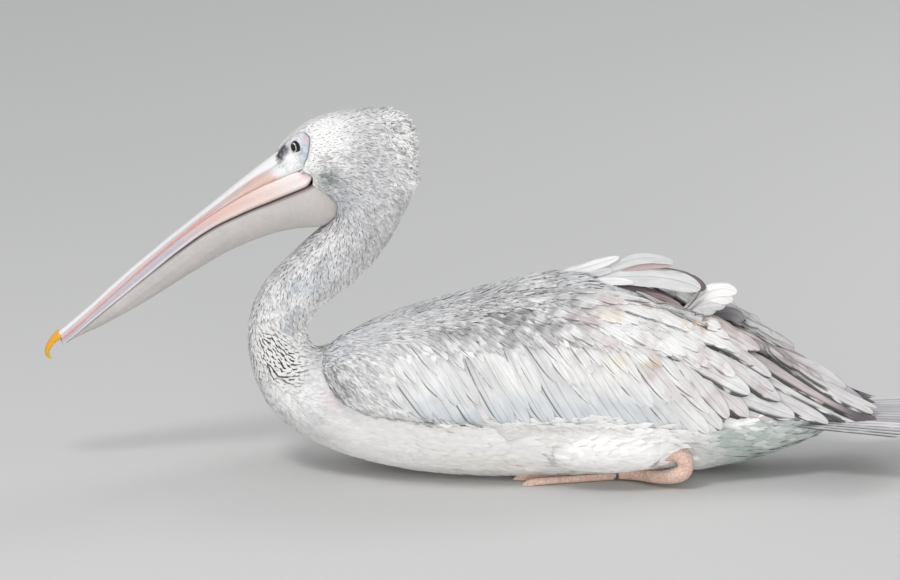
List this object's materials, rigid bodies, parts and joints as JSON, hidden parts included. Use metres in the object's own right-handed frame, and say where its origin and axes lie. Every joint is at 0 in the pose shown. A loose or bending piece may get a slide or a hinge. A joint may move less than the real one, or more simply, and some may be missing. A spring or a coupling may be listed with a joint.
{
  "type": "pink-backed pelican",
  "caption": "Life-size museum model of a pink-backed pelican resting on its belly, wings folded, feet tucked under and long pouched bill lowered.",
  "frame": {"origin": "on the surface that carries the bird, under the middle of its flat belly", "axes": "the bird faces -X, its left side is -Y and its back is towards +Z"},
  "size_m": [0.9648, 0.26, 0.4005],
  "materials": {
    "plumage": "soft white contour feathers with a grey and lilac tint",
    "coverts": "pale grey wing coverts with white edges and dark shafts",
    "flight_feathers": "grey to mauve-brown flight feathers",
    "tail_feathers": "pale grey tail feathers",
    "bill_horn": "smooth pinkish-grey horn with a satin sheen",
    "jaw_horn": "smooth peach to lilac-grey horn with a satin sheen",
    "nail_horn": "polished yellow-orange horn",
    "pouch_skin": "bare, finely wrinkled grey skin",
    "eye": "wet and glossy, dark with a pale brown iris",
    "leg_skin": "bare orange-pink skin with fine scutes"
  },
  "bodies": {
    "root": {"head": "plumage", "neck_upper": "plumage", "neck_middle": "plumage", "neck_lower": "plumage", "trunk": "plumage", "thigh_left": "plumage", "thigh_right": "plumage", "wing_left": "coverts", "wing_right": "coverts", "wing_left_tertials": "flight_feathers", "wing_right_tertials": "flight_feathers", "wing_left_primaries": "flight_feathers", "wing_right_primaries": "flight_feathers", "ruffled_feather_1": "flight_feathers", "ruffled_feather_2": "flight_feathers", "ruffled_feather_3": "flight_feathers", "tail": "tail_feathers", "upper_bill": "bill_horn", "lower_bill": "jaw_horn", "bill_nail": "nail_horn", "pouch": "pouch_skin", "eye_left": "eye", "eye_right": "eye", "shank_left": "leg_skin", "shank_right": "leg_skin", "foot_left": "leg_skin", "foot_right": "leg_skin"}
  },
  "joints": []
}
